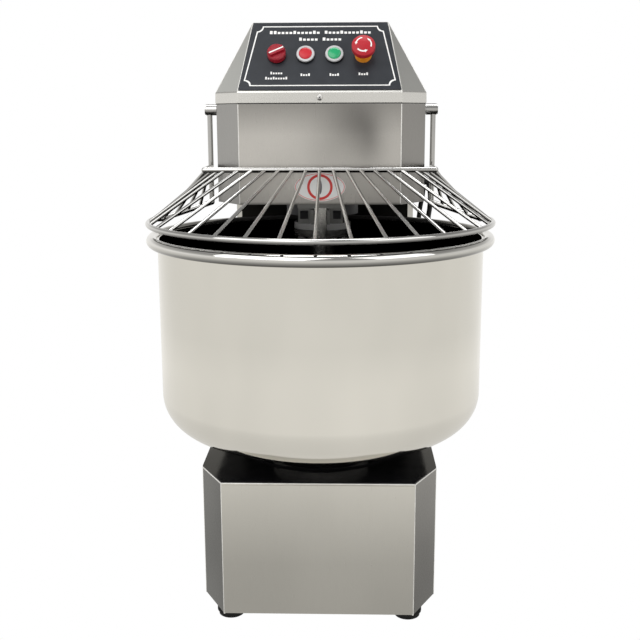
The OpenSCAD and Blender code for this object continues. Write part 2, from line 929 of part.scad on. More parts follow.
module divider_bracket() {
    color(steel) {
        translate([-bracket_half_w, divider_y - 11, bracket_top_z])
            cube([2 * bracket_half_w, 66, bracket_t]);
        difference() {
            translate([-bracket_half_w, divider_plate_y, bracket_top_z - bracket_h])
                cube([2 * bracket_half_w, bracket_t, bracket_h]);
            for (side = [-1, 1])
                translate([side * bracket_bolt_x, divider_plate_y - 1, bracket_bolt_z])
                    rotate([-90, 0, 0])
                        cylinder(h = bracket_t + 2, d = 8.4);
        }
        // Clamp that holds the bar to the upright plate
        difference() {
            translate([-14, divider_y, bracket_top_z - bracket_h])
                cube([28, divider_plate_y - divider_y, bracket_h - 4]);
            translate([0, divider_y, bracket_top_z - bracket_h - 1])
                cylinder(h = bracket_h, d = divider_d);
        }
    }
}

module divider_bolts() {
    color(black)
        for (side = [-1, 1])
            translate([side * bracket_bolt_x, divider_plate_y, bracket_bolt_z]) {
                translate([-bracket_bolt_w / 2, -9, -bracket_bolt_w / 2])
                    cube([bracket_bolt_w, 9, bracket_bolt_w]);
                rotate([-90, 0, 0]) cylinder(h = 16, d = 8);
            }
}

module guard_switch() {
    color(black) {
        translate([column_half_w - sheet - 26, hinge_y - 20, guard_hinge_z - 62])
            cube([24, 40, 44]);
        // Roller lever under the pivot
        rod([column_half_w - 20, hinge_y, guard_hinge_z - 18],
            [column_half_w - 20, hinge_y + 14, guard_hinge_z - 6], 5);
    }
}

module lead(route, d) {
    points = curve(route, 5);
    color(black)
        tube_along(points, [for (p = points) d / 2], 8);
}

module guard_switch_lead() {
    lead(switch_lead_route, switch_lead_d);
}

module motor_lead() {
    lead(motor_lead_route, motor_lead_d);
}

// Gland with a thread of diameter d, on the right side of a housing where a lead ends
module gland(lead_end, d) {
    translate([column_half_w, lead_end[1], lead_end[2]])
        rotate([0, 90, 0]) {
            cylinder(h = gland_nut_h, d = d + 6, $fn = 6);
            translate([0, 0, gland_nut_h]) cylinder(h = gland_cap_h, d = d + 2);
            translate([0, 0, -gland_thread_h]) cylinder(h = gland_thread_h, d = d);
        }
}

module cable_glands() {
    color(black) {
        gland(switch_lead_route[0], switch_gland_d);
        gland(switch_lead_route[len(switch_lead_route) - 1], switch_gland_d);
        gland(motor_lead_route[0], motor_gland_d);
        gland(motor_lead_route[len(motor_lead_route) - 1], motor_gland_d);
        // Inlet for the mains cable, low on the base's left side
        translate([-base_half_w, rear_y - inlet_from_end, base_bottom_z + inlet_from_end])
            rotate([0, -90, 0]) {
                cylinder(h = 6, d = inlet_d + 10, $fn = 6);
                translate([0, 0, 6]) cylinder(h = 12, d = inlet_d + 4);
                translate([0, 0, -gland_thread_h]) cylinder(h = gland_thread_h, d = inlet_d);
            }
    }
}

// ---------------------------------------------------------------- bowl

module bowl_profile(r, bottom_z, corner_r) {
    square_h = bowl_rim_z - bottom_z - corner_r;
    translate([0, bottom_z]) square([r - corner_r, bowl_rim_z - bottom_z]);
    translate([0, bottom_z + corner_r]) square([r, square_h]);
    translate([r - corner_r, bottom_z + corner_r]) circle(r = corner_r);
}

module bowl() {
    color(bright)
        translate([0, bowl_y, 0])
            rotate_extrude() {
                difference() {
                    bowl_profile(bowl_r, bowl_bottom_z, bowl_corner_r);
                    bowl_profile(bowl_r - bowl_wall, bowl_inner_bottom_z,
                                 bowl_corner_r - bowl_wall);
                }
                translate([rim_path_r, bowl_rim_z]) circle(d = bowl_rim_tube_d);
            }
}

module bowl_spindle() {
    color(dark_steel) {
        shaft(bowl_y, lower_chain_z - 10, bowl_bottom_z - 10, 50);
        shaft(bowl_y, bowl_bottom_z - 10, bowl_bottom_z, 150);
    }
}

module bowl_sprocket() {
    color(dark_steel)
        sprocket(bowl_y, lower_chain_z, bowl_teeth, 50, 80, 16);
}

// ---------------------------------------------------------------- spiral

module spiral_shaft() {
    color(dark_steel) {
        shaft(spiral_y, hook_flange_z + 10, upper_chain_z + 30, 38);
        shaft(spiral_y, hook_flange_z, hook_flange_z + 10, hook_flange_d);
    }
}

module spiral_sprocket() {
    color(dark_steel)
        sprocket(spiral_y, upper_chain_z, spiral_teeth, 38, 64, 14);
}

// Path of the spiral bar: out from the axis, then down and round, drawing in at the bottom
function hook_drop(t) = t < hook_out / 2 ? 0 : (t - hook_out / 2) / (1 - hook_out / 2);
function hook_r(t) =
    let (reach = t < hook_out ? sin(90 * t / hook_out) : 1,
         low = max(0, (t - 0.75) / 0.25))
    reach * (spiral_path_r + (hook_bottom_r - spiral_path_r) * low);
function hook_point(t) =
    let (a = -90 - 360 * spiral_turns * t, r = hook_r(t))
    [r * cos(a), spiral_y + r * sin(a),
     hook_top_z + (hook_bottom_z - hook_top_z) * hook_drop(t)];

module spiral_hook() {
    count = 88;
    path = [for (i = steps(count + 1)) hook_point(i / count)];
    radii = [for (i = steps(count + 1))
             spiral_bar_d / 2 * min(1, 0.55 + 0.15 * (count - i))];
    color(bright) {
        tube_along(path, radii, 16);
        translate([0, spiral_y, hook_top_z]) cylinder(h = hook_flange_z - 12 - hook_top_z, d = 40);
        translate([0, spiral_y, hook_top_z]) sphere(d = 40);
        difference() {
            shaft(spiral_y, hook_flange_z - 12, hook_flange_z, hook_flange_d);
            for (a = [0 : 60 : 300])
                translate([0, spiral_y, hook_flange_z - 13])
                    rotate(a)
                        translate([34, 0, 0])
                            cylinder(h = 14, d = 8);
        }
    }
}

module hook_bolts() {
    color(bright)
        for (a = [0 : 60 : 300])
            translate([0, spiral_y, hook_flange_z - 18])
                rotate(a)
                    translate([34, 0, 0]) {
                        cylinder(h = 6, d = 13, $fn = 6);
                        translate([0, 0, 6]) cylinder(h = 12, d = 8);
                    }
}

// ---------------------------------------------------------------- shafts and wheels

module countershaft() {
    color(dark_steel)
        shaft(countershaft_y, lower_belt_z - 20, upper_belt_z + 46, 30);
}

module countershaft_pulleys() {
    color(dark_steel) {
        pulley(countershaft_y, upper_belt_z, counter_pulley_r, 2, 30);
        pulley(countershaft_y, lower_belt_z, counter_small_pulley_r, 1, 30);
    }
}

module countershaft_sprocket() {
    color(dark_steel)
        sprocket(countershaft_y, upper_chain_z, counter_teeth, 30, 50, 14);
}

module jackshaft() {
    color(dark_steel) {
        shaft(jackshaft_y, lower_belt_z - 10, deck_z + 5, 25);
        sprocket(jackshaft_y, lower_chain_z, jack_teeth, 24, 30, 8);
    }
}

module jackshaft_pulley() {
    color(dark_steel)
        pulley(jackshaft_y, lower_belt_z, jack_pulley_r, 1, 25);
}

module motor_shaft() {
    color(bright)
        shaft(motor_y, motor_bottom_z - 20, upper_belt_z + 42, 24);
}

module motor_pulley() {
    color(dark_steel)
        pulley(motor_y, upper_belt_z, motor_pulley_r, 2, 24);
}

// ---------------------------------------------------------------- guard

module guard_ring() {
    color(bright) {
        // Front half circle
        translate([0, bowl_y, guard_ring_z])
            rotate([0, 0, 180])
                rotate_extrude(angle = 180)
                    translate([guard_ring_r, 0]) circle(d = guard_rod_d);
        for (side = [0, 1])
            mirror([side, 0, 0]) {
                // Bend at each end, then straight back to the arm
                translate([bend_x, bowl_y, guard_ring_z])
                    rotate_extrude(angle = bend_angle)
                        translate([bend_r, 0]) circle(d = guard_rod_d);
                translate(bend_end) sphere(d = guard_rod_d + weld_bead);
                rod(bend_end, arm_bottom, guard_rod_d);
            }
    }
}

// Point on the bar's return along the right side, from its front end (0) to the arm (1)
function return_point(along) =
    [bar_half_w + (guard_half_w - bar_half_w) * along,
     bar_y + (hinge_y - bar_y) * along, guard_bar_z];

// Bar across the head's front, returned along both sides to the arms
module guard_top_bar() {
    color(bright) {
        rod([-bar_half_w, bar_y, guard_bar_z], [bar_half_w, bar_y, guard_bar_z], guard_rod_d);
        for (side = [0, 1])
            mirror([side, 0, 0]) {
                translate(return_point(0)) sphere(d = guard_rod_d);
                rod(return_point(0), return_point(1), guard_rod_d);
            }
    }
}

// Where wire i starts on the top bar: evenly spaced, drawing together near the ends
function wire_top_x(i) =
    min(i, last_even_wire) * wire_pitch + max(i - last_even_wire, 0) * end_pitch;
function wire_foot(i) =
    i <= last_ring_wire ? [guard_ring_r * sin(wire_angle * i),
                           bowl_y - guard_ring_r * cos(wire_angle * i), guard_ring_z]
    : i < last_fan_wire ? [bend_x + bend_r * cos(bend_angle / 4),
                           bowl_y + bend_r * sin(bend_angle / 4), guard_ring_z]
    : bend_end;

module guard_wires() {
    color(bright) {
        rod([0, bar_y, guard_bar_z], wire_foot(0), wire_d);
        for (side = [0, 1])
            mirror([side, 0, 0]) {
                for (i = [1 : last_fan_wire])
                    rod([wire_top_x(i), bar_y, guard_bar_z], wire_foot(i), wire_d);
                // Short wires that close the sides
                for (i = [1 : side_wires]) {
                    along = i / (side_wires + 1);
                    rod(return_point(along), bend_end + (arm_bottom - bend_end) * along,
                        wire_d);
                }
            }
    }
}

module guard_arms() {
    color(bright)
        for (side = [0, 1])
            mirror([side, 0, 0])
                difference() {
                    union() {
                        rod(arm_bottom, [guard_half_w, hinge_y, guard_hinge_z], guard_rod_d);
                        translate(arm_bottom) sphere(d = guard_rod_d);
                        translate([boss_start, hinge_y, guard_hinge_z])
                            rotate([0, 90, 0])
                                cylinder(h = boss_length, d = boss_d);
                    }
                    translate([boss_start - 1, hinge_y, guard_hinge_z])
                        rotate([0, 90, 0])
                            cylinder(h = boss_length + 2, d = pivot_d + 2 * shaft_clear);
                }
}

module guard_pivot_pins() {
    inside = 14;
    outside = boss_start + boss_length - column_half_w + assembly_gap;
    color(bright)
        for (side = [0, 1])
            mirror([side, 0, 0])
                translate([column_half_w, hinge_y, guard_hinge_z])
                    rotate([0, 90, 0]) {
                        translate([0, 0, -inside]) cylinder(h = inside + outside, d = pivot_d);
                        // Shoulder against the housing, nut inside it and cap outside
                        cylinder(h = 2, d = boss_d - 1);
                        translate([0, 0, -sheet - 8]) cylinder(h = 8, d = boss_d, $fn = 6);
                        translate([0, 0, outside]) cylinder(h = 1.5, d = boss_d - 2);
                    }
}

base_shell();
base_front_panel();
base_top_cover();
floor_plate();
deck_plate();
levelling_feet();
foot_studs();
column_shell();
rear_cover();
cover_screws();
head_base_plate();
head_housing();
hood();
control_plate();
label_plate();
bearing_housings();
ball_bearings();
countershaft_flanges();
jackshaft_housing();
motor_body();
motor_mount();
upper_belts();
upper_chain();
lower_belt();
lower_chain();
divider_bar();
divider_bracket();
divider_bolts();
guard_pivot_pins();
guard_switch();
guard_switch_lead();
motor_lead();
cable_glands();
contactor_tray();
contact_blocks();
control_bezels();
estop_collar();
bowl();
bowl_spindle();
bowl_sprocket();
spiral_shaft();
spiral_sprocket();
spiral_hook();
hook_bolts();
countershaft();
countershaft_pulleys();
countershaft_sprocket();
jackshaft();
jackshaft_pulley();
motor_shaft();
motor_pulley();
guard_ring();
guard_top_bar();
guard_wires();
guard_arms();
selector_knob();
fast_button();
slow_button();
estop_stem();
estop_button();
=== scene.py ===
"""Looks of the spiral dough mixer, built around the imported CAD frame. Metres, +Z up."""
import math
import bpy
import bmesh
from mathutils import Matrix, Vector


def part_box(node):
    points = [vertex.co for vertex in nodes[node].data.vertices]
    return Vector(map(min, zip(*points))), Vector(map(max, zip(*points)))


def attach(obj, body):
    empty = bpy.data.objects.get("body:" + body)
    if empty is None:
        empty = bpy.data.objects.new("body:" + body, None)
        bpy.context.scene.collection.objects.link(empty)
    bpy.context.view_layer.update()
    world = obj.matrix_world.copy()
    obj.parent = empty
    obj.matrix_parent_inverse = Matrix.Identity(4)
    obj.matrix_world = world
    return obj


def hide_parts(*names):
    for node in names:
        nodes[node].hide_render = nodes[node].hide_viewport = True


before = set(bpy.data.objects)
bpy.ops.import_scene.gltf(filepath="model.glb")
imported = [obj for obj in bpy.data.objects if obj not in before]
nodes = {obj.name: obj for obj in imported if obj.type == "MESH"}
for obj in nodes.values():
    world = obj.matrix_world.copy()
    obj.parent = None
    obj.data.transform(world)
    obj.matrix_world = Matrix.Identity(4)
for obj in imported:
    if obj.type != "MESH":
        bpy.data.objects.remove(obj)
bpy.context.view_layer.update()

# ------------------------------------------------------------------ sizes
# The boxes come from the frame. Every other length repeats a value of part.scad.

MM = 0.001
bowl_lo, bowl_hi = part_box("bowl")
bowl_y = (bowl_lo.y + bowl_hi.y) / 2
bowl_bottom = bowl_lo.z
rim_tube_r = 8.5 * MM
rim_z = bowl_hi.z - rim_tube_r
rim_path_r = (bowl_hi.x - bowl_lo.x) / 2 - rim_tube_r
bowl_wall = 2.5 * MM
bowl_r = rim_path_r - rim_tube_r + 0.8 * MM
bowl_corner_r = 58 * MM

base_lo, base_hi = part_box("base_shell")
base_cut = (35 * MM, 65 * MM)
head_lo, head_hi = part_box("head_housing")
head_cut = (38.5 * MM, 55 * MM)
hood_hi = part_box("hood")[1]
hood_slope = 56 * MM
hood_top_half = 100.5 * MM
lip_h = 18.5 * MM

# The slanted panel: its lower edge, its tilt, and the controls' places across it
panel_low = Vector((0, head_lo.y, head_hi.z + lip_h))
panel_rise = hood_hi.z - panel_low.z
panel_tilt = math.atan2(panel_rise, hood_slope)
panel_length = math.hypot(panel_rise, hood_slope)
overlay_t = 1.5 * MM
control_pitch = 42.3 * MM
control_row = 58 * MM
selector_x, fast_x, slow_x, estop_x = ((i - 1.5) * control_pitch for i in range(4))

# How far printing stands above its surface
print_t = 0.1 * MM


# ------------------------------------------------------------------ material helpers

# Sockets of a Mix node that mixes colours
MIX_FACTOR, MIX_A, MIX_B, MIX_RESULT = 0, 6, 7, 2


def mix_colours(tree, factor, a, b, blend_type="MIX"):
    """Mixes two colours. Each value is a constant or another node's output."""
    mix = tree.nodes.new("ShaderNodeMix")
    mix.data_type = "RGBA"
    mix.blend_type = blend_type
    for index, value in ((MIX_FACTOR, factor), (MIX_A, a), (MIX_B, b)):
        if isinstance(value, bpy.types.NodeSocket):
            tree.links.new(value, mix.inputs[index])
        else:
            mix.inputs[index].default_value = value
    return mix.outputs[MIX_RESULT]


def map_range(tree, value, span, to=(0.0, 1.0), interpolation="LINEAR"):
    """Maps a span of a value onto another span, and cuts off what lies outside."""
    ranged = tree.nodes.new("ShaderNodeMapRange")
    ranged.interpolation_type = interpolation
    for key, number in zip(("From Min", "From Max", "To Min", "To Max"), (*span, *to)):
        ranged.inputs[key].default_value = number
    tree.links.new(value, ranged.inputs["Value"])
    return ranged.outputs["Result"]


class Shader:
    """A material whose node tree is built one call at a time."""

    def __init__(self, name):
        self.material = bpy.data.materials.new(name)
        self.material.use_nodes = True
        self.tree = self.material.node_tree
        self.bsdf = self.tree.nodes["Principled BSDF"]

    def node(self, kind, **settings):
        made = self.tree.nodes.new(kind)
        for key, value in settings.items():
            setattr(made, key, value)
        return made

    def link(self, source, target):
        self.tree.links.new(source, target)

    def set(self, **values):
        """Sets constants of the surface shader; an underscore stands for a space."""
        for key, value in values.items():
            socket = self.bsdf.inputs[key.replace("_", " ")]
            socket.default_value = (*value, 1.0) if isinstance(value, tuple) else value

    def coords(self, scale=(1, 1, 1)):
        place = self.node("ShaderNodeTexCoord")
        mapping = self.node("ShaderNodeMapping")
        mapping.inputs["Scale"].default_value = scale
        self.link(place.outputs["Object"], mapping.inputs["Vector"])
        return mapping.outputs["Vector"]

    def noise(self, scale, stretch, detail, rough=0.5):
        tex = self.node("ShaderNodeTexNoise")
        tex.inputs["Scale"].default_value = scale
        tex.inputs["Detail"].default_value = detail
        tex.inputs["Roughness"].default_value = rough
        self.link(self.coords(stretch), tex.inputs["Vector"])
        return tex.outputs["Fac"]

    def remap(self, value, low, high, from_low=0.3, from_high=0.7):
        return map_range(self.tree, value, (from_low, from_high), (low, high))

    def math(self, kind, a, b):
        made = self.node("ShaderNodeMath", operation=kind)
        for socket, value in zip(made.inputs, (a, b)):
            if isinstance(value, (int, float)):
                socket.default_value = value
            else:
                self.link(value, socket)
        return made.outputs[0]

    def along_z(self, vector):
        split = self.node("ShaderNodeSeparateXYZ")
        self.link(vector, split.inputs[0])
        return split.outputs["Z"]

    def height_fade(self, tone, z0, low, z1, high):
        """Multiplies tone by low at height z0, going over to high at z1."""
        height = self.along_z(self.coords())
        return self.math("MULTIPLY", tone, self.remap(height, low, high, z0, z1))

    def distance(self, vector, centre):
        near = self.node("ShaderNodeVectorMath", operation="DISTANCE")
        self.link(vector, near.inputs[0])
        near.inputs[1].default_value = centre
        return near.outputs["Value"]

    def tint(self, colour, tone):
        """Base colour: colour, darker or lighter with the output tone."""
        self.colour(mix_colours(self.tree, 1.0, (*colour, 1.0), tone, "MULTIPLY"))

    def colour(self, output):
        self.link(output, self.bsdf.inputs["Base Color"])

    def roughness(self, output):
        self.link(output, self.bsdf.inputs["Roughness"])

    def bump(self, height, strength, distance):
        made = self.node("ShaderNodeBump")
        made.inputs["Strength"].default_value = strength
        made.inputs["Distance"].default_value = distance
        self.link(height, made.inputs["Height"])
        self.link(made.outputs["Normal"], self.bsdf.inputs["Normal"])


def brushed_steel(name, colour, rough, patch=0.12, fades=(), spots=(), relief=0.05):
    """Sheet with a fine upright grain and faint, cloudy patches of tone, partly painted blurred
    reflections. Each fade is (z0, factor0, z1, factor1) and each spot (centre, radius, factor):
    brighter and duller areas that are painted reflections and painted shade."""
    grain, streak, wobble = (60, 60, 2), 0.012, 0.03
    s = Shader(name)
    s.set(Metallic=1.0)
    clouds = s.noise(5.0, (1.0, 1.0, 0.7), 2.0)
    lines = s.noise(22.0, grain, 4.0, 0.7)
    tone = s.remap(clouds, 1 - patch, 1 + patch, 0.35, 0.65)
    tone = s.math("MULTIPLY", tone, s.remap(lines, 1 - streak, 1 + streak))
    for fade in fades:
        tone = s.height_fade(tone, *fade)
    for centre, radius, factor in spots:
        shifted = s.node("ShaderNodeVectorMath", operation="ADD")
        s.link(s.coords(), shifted.inputs[0])
        s.link(s.remap(clouds, -wobble, wobble), shifted.inputs[1])
        away = s.distance(shifted.outputs["Vector"], centre)
        tone = s.math("MULTIPLY", tone, map_range(s.tree, away, (0.0, radius), (factor, 1.0),
                                                  "SMOOTHSTEP"))
    s.tint(colour, tone)
    s.roughness(s.remap(lines, rough - 0.04, rough + 0.05))
    s.bump(lines, relief, 0.2 * MM)
    return s.material


def polished_steel(name, colour, rough, ripple=0.25, painted_underside=1.0, edge=1.0, fades=()):
    """Turned and polished sheet: nearly a mirror, with a faint waviness and hairlines.
    Where it faces down its brightness is scaled by the underside factor: painted shade below
    one and painted light above one; edge tints glancing views; fades are as in brushed_steel."""
    s = Shader(name)
    s.set(Metallic=1.0, Specular_Tint=(edge, edge, edge))
    smears = s.noise(9.0, (1, 1, 0.4), 2.0)
    hairs = s.noise(30.0, (3, 3, 60), 3.0)
    tone = s.remap(smears, 0.955, 1.035)
    for fade in fades:
        tone = s.height_fade(tone, *fade)
    # Painted shade on faces that point down, or painted light where the factor is above one
    if painted_underside != 1:
        upward = s.along_z(s.node("ShaderNodeNewGeometry").outputs["Normal"])
        tone = s.math("MULTIPLY", tone, s.remap(upward, painted_underside, 1.0, -0.75, 0.25))
    s.tint(colour, tone)
    wear = s.math("ADD", s.math("MULTIPLY", smears, 0.7), s.math("MULTIPLY", hairs, 0.3))
    s.roughness(s.remap(wear, rough * 0.7, rough * 1.3))
    s.bump(hairs, ripple, 0.04 * MM)
    return s.material


def plain(name, colour, rough, mottling=0.08, bump=0.1, **settings):
    """Paint, plastic or rubber with slight mottling and a fine surface."""
    mottle_scale, grain_scale = 60.0, 840.0
    s = Shader(name)
    s.set(**settings)
    mottle = s.noise(mottle_scale, (1, 1, 1), 3.0)
    dark, light = (tuple(min(1.0, c * factor) for c in colour) + (1.0,)
                   for factor in (1 - mottling, 1 + mottling))
    s.colour(mix_colours(s.tree, s.remap(mottle, 0, 1), dark, light))
    s.roughness(s.remap(mottle, max(0.02, rough - 0.04), rough + 0.05))
    s.bump(s.noise(grain_scale, (1, 1, 1), 2.0), bump, 0.08 * MM)
    return s.material


# ------------------------------------------------------------------ materials

# Single steel panels have painted light and shade of their own, standing for what each
# mirrors of the room. Fades and spots give heights, places and radii in metres.
MATERIALS = {
    "sheet": brushed_steel("brushed_sheet", (0.46, 0.455, 0.44), 0.30),
    # Painted reflections and shade on the head's front: darker towards its top and its foot, a
    # dark line at the very foot, and brighter and darker patches
    "head_front": brushed_steel(
        "head_front_sheet", (0.425, 0.41, 0.385), 0.30, patch=0.10,
        fades=((0.700, 1.0, 0.742, 0.67), (0.585, 0.70, 0.660, 1.0),
               (head_lo.z, 0.30, head_lo.z + 4 * MM, 1.0)),
        spots=((Vector((-0.075, head_lo.y, 0.685)), 0.11, 1.22),
               (Vector((0.022, head_lo.y, 0.694)), 0.060, 0.80),
               (Vector((0.060, head_lo.y, 0.700)), 0.072, 0.50),
               (Vector((0.100, head_lo.y, 0.680)), 0.05, 1.12))),
    # Lit and shaded copies of the sheet for the corners, the hood's sides and its left slope:
    # painted light and shade
    "chamfer_left": brushed_steel("chamfer_left", (0.315, 0.31, 0.30), 0.30, patch=0.06),
    "chamfer_right": brushed_steel("chamfer_right", (0.255, 0.247, 0.235), 0.30, patch=0.08),
    "hood_left": brushed_steel("hood_left", (0.74, 0.745, 0.715), 0.32, patch=0.06),
    "hood_right": brushed_steel("hood_right", (0.57, 0.57, 0.545), 0.32, patch=0.06),
    "hood_slope": brushed_steel("hood_slope", (0.30, 0.297, 0.287), 0.42, patch=0.08),
    # The base's front brighter towards its top, its corners darker with fades of their own:
    # painted reflection and shade
    "base_sheet": brushed_steel("base_sheet", (0.58, 0.565, 0.52), 0.31, patch=0.04,
                                fades=((0.10, 0.88, 0.215, 1.14),)),
    "base_left": brushed_steel("base_left", (0.150, 0.149, 0.142), 0.28, patch=0.18,
                               fades=((0.05, 1.15, 0.215, 0.95),)),
    "base_right": brushed_steel("base_right", (0.195, 0.19, 0.18), 0.28, patch=0.22,
                                fades=((0.05, 0.90, 0.215, 1.30),)),
    # The lip's brighter colour is a painted reflection
    "lip": brushed_steel("lip_sheet", (0.64, 0.63, 0.60), 0.25, patch=0.05, relief=0.0),
    # Near-black band in the gap below the lip: painted shadow
    "painted_seam_shadow": plain("seam_shadow", (0.045, 0.044, 0.042), 0.6),
    # The bright colour of the rounded bends is a painted highlight
    "fold_highlight": plain("fold_edge_painted_highlight", (0.78, 0.77, 0.74), 0.35, mottling=0.10, bump=0.02,
                  Metallic=0.35),
    "column_sheet": brushed_steel("column_sheet", (0.46, 0.45, 0.42), 0.32),
    # Near-black front of the column below the head: painted shade on steel
    "column_front": brushed_steel("column_front", (0.009, 0.0088, 0.008), 0.35, patch=0.4),
    # The bracket below the head is darkened: its own steel with painted shade
    "bracket": brushed_steel("bracket_steel_and_painted_shade", (0.15, 0.15, 0.145), 0.34, patch=0.3),
    # Brighter where the bowl faces down and on its lower part: painted light
    "bowl_outer": polished_steel("bowl_outer", (0.585, 0.570, 0.527), 0.12, painted_underside=1.34,
                                 fades=((0.30, 1.20, 0.43, 1.0),)),
    # Near-black inside of the steel bowl: painted shade
    "bowl_inner_painted_shade": polished_steel("bowl_inner_painted_shade", (0.004, 0.0042, 0.004), 0.20, edge=0.2),
    # Rim and wires darker where they face down: painted shade
    "rim": polished_steel("rim_steel", (0.68, 0.67, 0.64), 0.08, painted_underside=0.22),
    "rod": polished_steel("rod_steel", (0.55, 0.545, 0.53), 0.10, ripple=0.03, painted_underside=0.14),
    "tool": polished_steel("tool_steel", (0.34, 0.335, 0.32), 0.24),
    "machined": brushed_steel("machined_steel", (0.42, 0.42, 0.42), 0.36, patch=0.08),
    "bolt": brushed_steel("bolt_steel", (0.60, 0.59, 0.57), 0.3, patch=0.05),
    "dark_plate": plain("dark_plate", (0.10, 0.10, 0.105), 0.5, Metallic=0.3),
    "casting": plain("casting", (0.09, 0.09, 0.095), 0.55, mottling=0.2, bump=0.4,
                     Metallic=0.4),
    "motor": plain("motor_enamel", (0.10, 0.14, 0.17), 0.38, bump=0.25),
    "gloss_black": plain("gloss_black", (0.006, 0.006, 0.007), 0.10, bump=0.02,
                         Specular_IOR_Level=0.12),
    "overlay": plain("overlay_black", (0.017, 0.020, 0.026), 0.36, bump=0.05,
                     Specular_IOR_Level=0.40),
    "matt_black": plain("matt_black", (0.008, 0.008, 0.009), 0.5, bump=0.2,
                        Specular_IOR_Level=0.15),
    "rubber": plain("rubber", (0.008, 0.008, 0.008), 0.6, mottling=0.25, bump=0.4,
                    Specular_IOR_Level=0.2),
    "print_white": plain("print_white", (0.80, 0.80, 0.79), 0.4, mottling=0.02),
    "print_red": plain("print_red", (0.62, 0.035, 0.03), 0.4, mottling=0.05),
    "print_grey": plain("print_grey", (0.10, 0.10, 0.11), 0.4, mottling=0.05),
    "chrome": plain("plated_trim", (0.64, 0.64, 0.65), 0.20, mottling=0.02, bump=0.02,
                    Metallic=0.45),
    "red": plain("red_plastic", (0.50, 0.012, 0.022), 0.30, mottling=0.05, bump=0.04),
    "mushroom": plain("mushroom_red", (0.40, 0.010, 0.020), 0.42, mottling=0.05, bump=0.04,
                      Specular_IOR_Level=0.3),
    "dark_red": plain("dark_red_plastic", (0.30, 0.006, 0.018), 0.28, mottling=0.08,
                      bump=0.04),
    "green": plain("green_plastic", (0.008, 0.34, 0.13), 0.22, mottling=0.05, bump=0.04,
                   Coat_Weight=0.4),
    "amber": plain("amber_plastic", (0.85, 0.30, 0.02), 0.3, mottling=0.05, bump=0.04),
    "pale_plastic": plain("pale_plastic", (0.62, 0.62, 0.60), 0.45),
}

# Finish of each CAD node that isn't replaced
NODE_MATERIALS = {
    "sheet": ("head_housing", "hood"),
    "bracket": ("divider_bracket",),
    "base_sheet": ("base_shell", "base_front_panel"),
    "column_sheet": ("column_shell", "rear_cover"),
    "rod": ("guard_ring", "guard_top_bar", "guard_wires", "guard_arms", "guard_pivot_pins"),
    "tool": ("divider_bar", "spiral_hook"),
    "bolt": ("cover_screws", "foot_studs", "hook_bolts"),
    "machined": ("ball_bearings", "upper_chain", "lower_chain", "bowl_spindle",
                 "bowl_sprocket", "spiral_shaft", "spiral_sprocket", "countershaft",
                 "countershaft_sprocket", "jackshaft", "motor_shaft"),
    "dark_plate": ("floor_plate", "deck_plate", "head_base_plate", "motor_mount"),
    "casting": ("bearing_housings", "countershaft_flanges", "jackshaft_housing",
                "countershaft_pulleys", "jackshaft_pulley", "motor_pulley"),
    "motor": ("motor_body",),
    "gloss_black": ("base_top_cover",),
    "overlay": ("control_plate",),
    "matt_black": ("divider_bolts", "guard_switch", "cable_glands", "contact_blocks",
                   "estop_stem"),
    "rubber": ("upper_belts", "lower_belt"),
    "print_white": ("label_plate",),
    "chrome": ("control_bezels",),
    "red": ("fast_button",),
    "dark_red": ("selector_knob",),
    "mushroom": ("estop_button",),
    "green": ("slow_button",),
    "amber": ("estop_collar",),
    "pale_plastic": ("contactor_tray",),
}

# Painted light and shade of single panels of a folded sheet, by the way they face: lit and
# shaded copies of one steel
PANELS = {
    "base_shell": (("front", "base_sheet"), ("left corner", "base_left"),
                   ("right corner", "base_right"), ("side or back", "column_sheet")),
    "head_housing": (("front", "head_front"), ("left corner", "chamfer_left"),
                     ("right corner", "chamfer_right")),
    "hood": (("left corner", "hood_left"), ("right corner", "hood_right"),
             ("left slope", "hood_slope")),
    "column_shell": (("front", "column_front"),),
}

# Tests of a panel's normal: whether it is turned that way
TURNED = {
    "front": lambda normal: normal.y < -0.9,
    "side or back": lambda normal: normal.y > -0.1,
    "left corner": lambda normal: normal.x < -0.3 and normal.y < -0.3,
    "right corner": lambda normal: normal.x > 0.3 and normal.y < -0.3,
    "left slope": lambda normal: normal.x < -0.3 and abs(normal.y) < 0.3 and normal.z > 0.3,
}


def round_edges(obj, width):
    """Small rounding on the edges of a part."""
    bevel = obj.modifiers.new("folds", "BEVEL")
    bevel.width = width
    bevel.segments = 2
    bevel.limit_method = "ANGLE"
    bevel.angle_limit = math.radians(25)


def dress_cad_nodes():
    """Smooth shading with sharp edges, and a finish, for every CAD node that stays."""
    for key, names in NODE_MATERIALS.items():
        for name in names:
            mesh = nodes[name].data
            mesh.materials.clear()
            mesh.materials.append(MATERIALS[key])
            mesh.polygons.foreach_set("use_smooth", [True] * len(mesh.polygons))
            mesh.set_sharp_from_angle(angle=math.radians(32))
    for name, panels in PANELS.items():
        mesh = nodes[name].data
        for index, (way, key) in enumerate(panels):
            mesh.materials.append(MATERIALS[key])
            for poly in mesh.polygons:
                if TURNED[way](poly.normal):
                    poly.material_index = index + 1
    # The selector's bezel is black; the sides of the plated ones are black as painted shade
    bezels = nodes["control_bezels"].data
    bezels.materials.append(MATERIALS["matt_black"])
    out_of_panel = Vector((0, -math.sin(panel_tilt), math.cos(panel_tilt)))
    for poly in bezels.polygons:
        if poly.center.x < (selector_x + fast_x) / 2 or poly.normal.dot(out_of_panel) < 0.3:
            poly.material_index = 1
    round_edges(nodes["column_shell"], 1.2 * MM)
    for name in ("control_bezels", "base_top_cover", "estop_collar", "divider_bracket",
                 "selector_knob", "estop_button"):
        round_edges(nodes[name], 0.5 * MM)


# ------------------------------------------------------------------ mesh helpers

